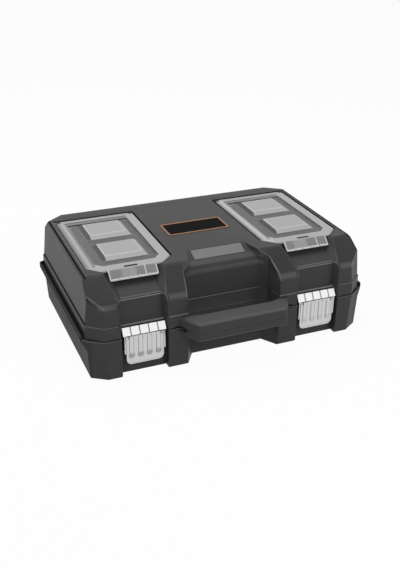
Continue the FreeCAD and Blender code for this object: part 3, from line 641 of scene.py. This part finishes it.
def zinc_finish(name, level, line_at, line_half, line_depth, foot_shaded):
    material, shader, place, (x, y, z) = start_finish(name, Specular_IOR_Level=0.1)
    drawn = place.node("ShaderNodeMapping", {}, {"Vector": place, "Scale": (2400, 2400, 40)})
    lines = noise(drawn, 1.0)
    cloud = noise(place, 90)
    away = rib_distance(abs(x))
    # Painted shade lines beside the ribs.
    rib_shade_lines = away.between(line_at - line_half, line_at + line_half, line_edge)
    rib_shade_lines = rib_shade_lines * z.above(*rib_foot) * line_depth
    sheet = (0.88 + lines * 0.14 + cloud * 0.10).mix(grey(0.0), (level, level, level * 1.005, 1))
    # Painted shade at the lever's foot, fainter on the right latch.
    if foot_shaded:
        sideways = away / foot_shade_size[0]
        upwards = (z - foot_shade_level) / foot_shade_size[1]
        foot_shade = (sideways * sideways + upwards * upwards).below(*foot_shade_fade)
        foot_shade = foot_shade * (0.3 + cloud * 0.6) * (1 - x.above(*middle) * 0.6)
        last = (foot_shade, level * 0.30)
    else:
        # The strip's foot is painted darker as shade.
        last = (z.below(*strip_foot), level * 0.66)
    painted(sheet, (rib_shade_lines, 0.09), last).feed(shader, "Base Color")
    (1 - rib_shade_lines).feed(shader, "Metallic")
    (0.26 + lines * 0.10 + cloud * 0.10).feed(shader, "Roughness")
    bumped(shader, lines, 0.06, 0.0002)
    return material


lever_zinc = zinc_finish("dull_zinc_sheet", 0.60, rib_half, 0.0005, 0.38, True)
strip_zinc = zinc_finish("bright_zinc_sheet", 0.90, 0.0, 0.0008, 0.8, False)
print("made", lever_zinc.name, strip_zinc.name)

# %% Wire
def wire_finish():
    material, shader, place = start_finish("drawn_wire", Metallic=1.0)[:3]
    lines = noise(place, 1800)
    (0.85 + lines * 0.2).mix(grey(0.0), grey(0.58)).feed(shader, "Base Color")
    (0.28 + lines * 0.2).feed(shader, "Roughness")
    return material


wire = wire_finish()
print("made", wire.name)

# %% [markdown]
# ## Label and thumb pad
# The label is a bare black field in a thin copper-coloured border. The thumb pad on the scoop's slope is a
# paler and coarser plastic than the case.

# %% Copper print, black film and pad
def copper_finish():
    material, shader, place = start_finish("copper_print", Metallic=0.35, Specular_IOR_Level=0.4)[:3]
    flakes = noise(place, 1600)
    (0.8 + flakes * 0.4).mix(grey(0.0), (0.30, 0.13, 0.055, 1)).feed(shader, "Base Color")
    (0.34 + flakes * 0.16).feed(shader, "Roughness")
    return material


def label_finish():
    material, shader, place = start_finish("black_label_film", Specular_IOR_Level=0.0)[:3]
    film = noise(place, 40)
    (0.8 + film * 0.4).mix(grey(0.0), grey(0.014)).feed(shader, "Base Color")
    (0.42 + film * 0.14).feed(shader, "Roughness")
    bumped(shader, noise(place, 1200, 1), 0.06, 0.0001)
    return material


def pad_finish():
    material, shader, place = start_finish("pale_pad_plastic", Specular_IOR_Level=0.3)[:3]
    grain = noise(place, 1100)
    drift = noise(place, 30)
    (0.85 + drift * 0.2 + grain * 0.1).mix(grey(0.0), grey(0.165)).feed(shader, "Base Color")
    (0.5 + grain * 0.15).feed(shader, "Roughness")
    bumped(shader, grain, 0.3, 0.0003)
    return material


copper = copper_finish()
label_black = label_finish()
pad_plastic = pad_finish()
print("made", copper.name, label_black.name, pad_plastic.name)

# %% [markdown]
# ## Soft edges for the moulded and pressed pieces
# A drawing has sharp edges, and a moulding or pressing never does: each edge has a small radius that
# catches the light. One radius for all would run over the narrow ledges, so each edge gets the radius that
# its two faces have room for. The room is how far a face goes on, straight across, before it ends in
# another sharp edge.

# %% The room beside a sharp edge
sharp_turn = math.radians(22)
straight_turn = math.radians(150)
no_length = 1e-6
no_step = 1e-9


def sharp_edges(shape):
    return {edge.index for edge in shape.edges
            if len(edge.link_faces) == 2 and edge.calc_face_angle(0) > sharp_turn}


def reach_inside(loop, sharp):
    """How far a face reaches from one of its edges, at three places along the edge."""
    start = np.array(loop.vert.co)
    along = np.array(loop.link_loop_next.vert.co) - start
    length = np.linalg.norm(along)
    along = along / length
    inward = np.cross(np.array(loop.face.normal), along)
    bounds = [other for other in loop.face.loops if other.edge.index in sharp]
    first = np.array([other.vert.co for other in bounds]) - start
    second = np.array([other.link_loop_next.vert.co for other in bounds]) - start
    u0, w0 = first @ along, first @ inward
    u1, w1 = second @ along, second @ inward
    nearest = length * 100
    for share in (0.2, 0.5, 0.8):
        place = share * length
        crossing = ((u0 - place) * (u1 - place) <= 0) & (np.abs(u1 - u0) > no_step)
        part = (place - u0[crossing]) / (u1 - u0)[crossing]
        across = w0[crossing] + part * (w1 - w0)[crossing]
        across = across[across > no_length]
        if len(across):
            nearest = min(nearest, across.min())
    return nearest


def edge_room(edge, sharp):
    room = []
    for loop in edge.link_loops:
        room.append(reach_inside(loop, sharp))
        ahead = loop.link_loop_next
        for beside, corner in ((loop.link_loop_prev, loop), (ahead, ahead)):
            corner_turn = corner.calc_angle()
            if corner_turn < straight_turn:
                room.append(beside.edge.calc_length() * math.sin(corner_turn))
    return min(room)


print("edges can be measured")

# %% [markdown]
# ## Runs of edges
# Edges that run on into each other share one radius, the least of the run, because a bevel whose width
# jumps along a gentle bend shoots out a spike there.

# %% Group edges into runs and level their radii
run_turn = math.radians(35)


def runs_of(shape, sharp):
    leader = {index: index for index in sharp}

    def head(index):
        while leader[index] != index:
            index = leader[index]
        return index

    for vertex in shape.verts:
        meeting = [edge for edge in vertex.link_edges if edge.index in sharp]
        ways = [(edge.other_vert(vertex).co - vertex.co).normalized() for edge in meeting]
        for i in range(len(meeting)):
            for j in range(i):
                if ways[i].dot(ways[j]) < -math.cos(run_turn):
                    leader[head(meeting[i].index)] = head(meeting[j].index)
    return {index: head(index) for index in sharp}


def levelled(radii, run):
    least = {}
    for index, radius in radii.items():
        least[run[index]] = min(least.get(run[index], radius), radius)
    return {index: least[run[index]] for index in radii}


print("runs can be found")

# %% [markdown]
# ## Faults of a bevel
# A bevel that is too wide leaves two kinds of faults. Neighbouring faces fold back to back, or a face's
# outline crosses itself, and then its triangles cover more than the face. Both are looked for.

# %% Find folded and crossed faces
quad_share = 1.3
outline_share = 1.008
no_area = 1e-6


def folded_places(mesh):
    shape = bmesh.new()
    shape.from_mesh(mesh)
    places = [(edge.verts[0].co + edge.verts[1].co) / 2 for edge in shape.edges
              if len(edge.link_faces) == 2 and edge.calc_face_angle(0) > straight_turn]
    shape.free()
    return places


def crossed_places(mesh):
    """The corners of the faces whose outline crosses itself."""
    mesh.calc_loop_triangles()
    covered = np.zeros(len(mesh.polygons))
    for triangle in mesh.loop_triangles:
        covered[triangle.polygon_index] += triangle.area
    places = []
    for polygon in mesh.polygons:
        share = quad_share if len(polygon.vertices) == 4 else outline_share
        if covered[polygon.index] > polygon.area * share + no_area:
            places += [mesh.vertices[index].co.copy() for index in polygon.vertices]
    return places


print("faults can be found")

# %% [markdown]
# ## A bevelled copy of a node
# A copy of the frame's mesh is merged and its flat faces are joined. A Bevel modifier reads each edge's
# radius as a weight from 0 to 1. The bevel's own faces take a second material slot for a moment, so those
# that stand out and face the light can be marked for a painted highlight, for the finish to read. Weighted
# normals then keep the large faces flat in the light.

# %% Copy and bevel
merge_distance = 0.00004
flat_turn = math.radians(0.6)
least_radius = 0.00008


def picked(piece):
    bpy.ops.object.select_all(action="DESELECT")
    piece.select_set(True)
    bpy.context.view_layer.objects.active = piece


def merged_copy(node):
    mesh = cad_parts[node].data.copy()
    holder = bpy.data.objects.new("merging", mesh)
    scene.collection.objects.link(holder)
    picked(holder)
    bpy.ops.object.mode_set(mode="EDIT")
    bpy.ops.mesh.select_all(action="SELECT")
    bpy.ops.mesh.remove_doubles(threshold=merge_distance)
    bpy.ops.mesh.dissolve_degenerate(threshold=merge_distance)
    bpy.ops.mesh.dissolve_limited(angle_limit=flat_turn)
    bpy.ops.object.mode_set(mode="OBJECT")
    bpy.data.objects.remove(holder)
    return mesh


def bevelled(source, name, radii, radius, material):
    mesh = source.copy()
    mesh.materials.clear()
    mesh.materials.append(material)
    mesh.materials.append(material)
    weights = mesh.attributes.new("bevel_weight_edge", "FLOAT", "EDGE")
    for index, value in radii.items():
        weights.data[index].value = value / radius if value > least_radius else 0.0
    piece = bpy.data.objects.new(name, mesh)
    scene.collection.objects.link(piece)
    picked(piece)
    bpy.ops.object.modifier_add(type="BEVEL")
    bevel = piece.modifiers[-1]
    bevel.limit_method = "WEIGHT"
    bevel.width = radius
    bevel.segments = 2
    bevel.use_clamp_overlap = False
    bevel.material = 1
    bpy.ops.object.modifier_apply(modifier=bevel.name)
    return piece


print("nodes can be copied and bevelled")

# %% Mark and smooth
smooth_turn = math.radians(32)
least_upward = 0.15
most_backward = 0.3


def mark_edge_highlights(mesh):
    """Mark, for a painted highlight, the bevel's faces that stand out and look up or forward into the
    light, and give all faces the first slot.
    """
    shape = bmesh.new()
    shape.from_mesh(mesh)
    standing = []
    for face in shape.faces:
        lit = face.normal.z > least_upward and face.normal.y < most_backward
        bulge = sum(edge.calc_length() * edge.calc_face_angle_signed(0) for edge in face.edges)
        standing.append(face.material_index == 1 and lit and bulge > 0)
    shape.free()
    highlit_edges = mesh.attributes.new("painted_edge_highlight", "FLOAT", "FACE")
    for polygon, highlighted in zip(mesh.polygons, standing):
        highlit_edges.data[polygon.index].value = 1.0 if highlighted else 0.0
        polygon.material_index = 0
    mesh.materials.pop(index=1)


def shaded_smooth(piece):
    bpy.ops.object.shade_smooth_by_angle(angle=smooth_turn)
    bpy.ops.object.modifier_add(type="WEIGHTED_NORMAL")
    piece.modifiers[-1].keep_sharp = True
    bpy.ops.object.modifier_apply(modifier=piece.modifiers[-1].name)


print("faces that turn less than", round(math.degrees(smooth_turn)), "degrees are shaded smooth")

# %% [markdown]
# ## First radii, and the edges near a fault
# Base and lid meet at one level all round. There the edges keep only a hair of a radius, because two wide
# ones would open a slit that one could look through. A search tree of the corners finds the edges near a
# fault, whose radii are to come down.

# %% Set the first radii and look up edges by place
room_share = 0.42
parting_level = 0.056
parting_reach = 0.0012
parting_radius = 0.00035


def first_radii(shape, sharp, radius):
    radii = {}
    for index in sharp:
        edge = shape.edges[index]
        radii[index] = min(radius, room_share * edge_room(edge, sharp))
        if all(abs(vertex.co.z - parting_level) < parting_reach for vertex in edge.verts):
            radii[index] = min(radii[index], parting_radius)
    return radii


def edge_finder(mesh):
    """A function that gives the edges that end near any of some places."""
    corners = KDTree(len(mesh.vertices))
    for vertex in mesh.vertices:
        corners.insert(vertex.co, vertex.index)
    corners.balance()
    ending = [[] for vertex in mesh.vertices]
    for edge in mesh.edges:
        for index in edge.vertices:
            ending[index].append(edge.index)

    def edges_near(places, reach):
        return {index for place in places
                for co, corner, away in corners.find_range(place, reach) for index in ending[corner]}

    return edges_near


print("at the parting line the radius is", parting_radius)

# %% [markdown]
# ## Round the pieces
# Each piece is bevelled, looked over for faults, and bevelled again with half the radius near them, until
# it is clean or the tries are used up. The radii are those of a moulding, a few tenths to 1.6 mm.

# %% Round a node, with as many tries as it needs
most_tries = 14
fault_reach = 1.9


def rounded_copy(node, body, material, radius):
    source = merged_copy(node)
    shape = bmesh.new()
    shape.from_mesh(source)
    sharp = sharp_edges(shape)
    run = runs_of(shape, sharp)
    shape.edges.ensure_lookup_table()
    radii = first_radii(shape, sharp, radius)
    shape.free()
    edges_near = edge_finder(source)
    allowed = len(folded_places(source))
    for attempt in range(1, most_tries + 1):
        radii = levelled(radii, run)
        piece = bevelled(source, node + "_skin", radii, radius, material)
        folds = folded_places(piece.data)
        crossings = crossed_places(piece.data)
        clean = len(folds) <= allowed and not crossings
        if clean or attempt == most_tries:
            break
        bpy.data.objects.remove(piece)
        for index in edges_near(folds + crossings, radius * fault_reach) & sharp:
            radii[index] *= 0.5
    mark_edge_highlights(piece.data)
    shaded_smooth(piece)
    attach(piece, body)
    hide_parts(node)
    print(piece.name, "tries", attempt, "folds", len(folds), "crossings", len(crossings))


rounded_copy("base_shell", "base", case_plastic, 0.0011)
rounded_copy("lid_shell", "lid", case_plastic, 0.0013)
rounded_copy("thumb_pad", "lid", pad_plastic, 0.0004)
rounded_copy("label_frame", "lid", copper, 0.0003)
for side in ("left", "right"):
    rounded_copy("organiser_cover_" + side, "cover_" + side, cover_plastic, 0.0016)
    rounded_copy("latch_lever_" + side, "lever_" + side, lever_zinc, 0.0003)
    rounded_copy("latch_bail_" + side, "bail_" + side, strip_zinc, 0.0004)

# %% [markdown]
# ## The bead in each window
# A shallow bead runs round inside each cover's window, close to the wall and with rounded corners, and
# stiffens the thin plate. It could be a swept curve, but a flat ring is quicker: a plane at the bead's
# outer size, its corners rounded, an inset for the width and the middle taken out. Solidify gives it a
# closed thickness, partly sunk in the plate, and Bevel softens its edges.

# %% Model the bead on both covers
bead_side = (window_side[0] + 0.0020, window_side[1] - 0.0020)
bead_length = (window_span[0] + 0.0026, window_span[1] - 0.0046)
bead_corner = 0.010
bead_width = 0.0016
bead_finish = (("SOLIDIFY", "thickness", 0.0011), ("BEVEL", "width", 0.0003))


def window_bead(side, sign):
    centre = (sign * sum(bead_side) / 2, sum(bead_length) / 2, bead_top)
    bpy.ops.object.select_all(action="DESELECT")
    bpy.ops.mesh.primitive_plane_add(size=1, location=centre)
    bead = bpy.context.object
    bead.name = "window_bead_" + side
    bead.scale = (bead_side[1] - bead_side[0], bead_length[1] - bead_length[0], 1)
    bpy.ops.object.transform_apply(location=True, rotation=True, scale=True)
    bpy.ops.object.mode_set(mode="EDIT")
    bpy.ops.mesh.select_all(action="SELECT")
    bpy.ops.mesh.bevel(offset=bead_corner, segments=5, affect="VERTICES")
    bpy.ops.mesh.select_all(action="SELECT")
    bpy.ops.mesh.inset(thickness=bead_width)
    bpy.ops.mesh.delete(type="FACE")
    bpy.ops.object.mode_set(mode="OBJECT")
    for kind, setting, value in bead_finish:
        bpy.ops.object.modifier_add(type=kind)
        setattr(bead.modifiers[-1], setting, value)
        bpy.ops.object.modifier_apply(modifier=bead.modifiers[-1].name)
    bpy.ops.object.shade_smooth_by_angle(angle=smooth_turn)
    bead.data.materials.append(cover_plastic)
    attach(bead, "cover_" + side)
    print(bead.name, len(bead.data.polygons), "faces")


window_bead("left", -1)
window_bead("right", 1)

# %% [markdown]
# ## Finishes on the pieces that keep their drawn shape
# Pins, wells and dividers already have the right shape, so only their finish changes.

# %% Give each remaining node its finish
finishes = {
    "organiser_tray": well_plastic,
    "organiser_divider": well_plastic,
    "latch_bracket": lever_zinc,
    "lid_hinge_pin": wire,
    "cover_hinge_pin": wire,
    "lever_pin": wire,
    "bail_pins": wire,
    "bracket_rivets": wire,
    "label_plate": label_black,
}
dressed = 0
for name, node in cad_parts.items():
    for start, material in finishes.items():
        if name.startswith(start):
            node.data.materials.clear()
            node.data.materials.append(material)
            dressed += 1
print("finishes given to", dressed, "nodes")

# %% [markdown]
# ## Floor and background
# The picture has a pure white ground. More light would bleach the case, so floor and world are white only
# for what looks at them directly: the camera, a mirror-like face or a clear one. For all other rays the
# floor is a pale sheet, and a little of that stays in view, which keeps the case's faint shadow.

# %% Floor
floor_white = 0.95


def seen_directly(tree):
    """1 for a ray from the camera, a mirror-like face or a clear one, and 0 for any other."""
    rays = tree.nodes.new("ShaderNodeLightPath")
    camera_ray, glossy, through = (Wire(tree, rays.outputs[kind]) for kind in
                                   ("Is Camera Ray", "Is Glossy Ray", "Is Transmission Ray"))
    return camera_ray.most(glossy).most(through)


bpy.ops.object.select_all(action="DESELECT")
bpy.ops.mesh.primitive_plane_add(size=12, location=(0, 0, -0.0004))
floor = bpy.context.object
floor.name = "floor"
paper = bpy.data.materials.new("white_paper")
paper.use_nodes = True
paper.node_tree.nodes.clear()
seen = seen_directly(paper.node_tree)
sheet = seen.node("ShaderNodeBsdfDiffuse", {}, {"Color": grey(0.8)})
glow = seen.node("ShaderNodeEmission", {}, {"Color": grey(1.0), "Strength": 1.0})
both = seen.node("ShaderNodeMixShader", {}, {0: seen * floor_white, 1: sheet, 2: glow})
both.feed(paper.node_tree.nodes.new("ShaderNodeOutputMaterial"), "Surface")
floor.data.materials.append(paper)
print("floor below the case")

# %% World
world_light = 0.36

world = bpy.data.worlds.new("studio")
scene.world = world
world.use_nodes = True
world.node_tree.nodes.clear()
level = world_light + seen_directly(world.node_tree) * (1 - world_light)
sky = level.node("ShaderNodeBackground", {}, {"Color": grey(1.0), "Strength": level})
sky.feed(world.node_tree.nodes.new("ShaderNodeOutputWorld"), "Surface")
print("world gives", world_light)

# %% [markdown]
# ## Lamps
# The light is broad, from above and from the left, with a fill from the front. The bright strips would
# mirror the fill and lose their lines, so it lights the case but isn't seen in reflections.

# %% Lamps
def add_lamp(name, place, aim, size, power):
    lamp = bpy.data.lights.new(name, "AREA")
    lamp.shape = "RECTANGLE"
    lamp.size, lamp.size_y = size
    lamp.energy = power
    holder = bpy.data.objects.new(name, lamp)
    holder.location = place
    holder.rotation_euler = (Vector(aim) - Vector(place)).to_track_quat("-Z", "Y").to_euler()
    scene.collection.objects.link(holder)
    return holder


add_lamp("top_lamp", (-0.3, 0.3, 1.6), (0, 0, 0.08), (1.4, 1.4), 16)
add_lamp("left_lamp", (-1.5, 0.45, 0.8), (0, 0, 0.06), (1.0, 1.0), 4.5)
front_fill = add_lamp("front_fill", (0.55, -1.3, 0.85), (0, 0, 0.08), (1.2, 0.6), 8.5)
front_fill.visible_glossy = False
print("top lamp, left lamp and front fill")
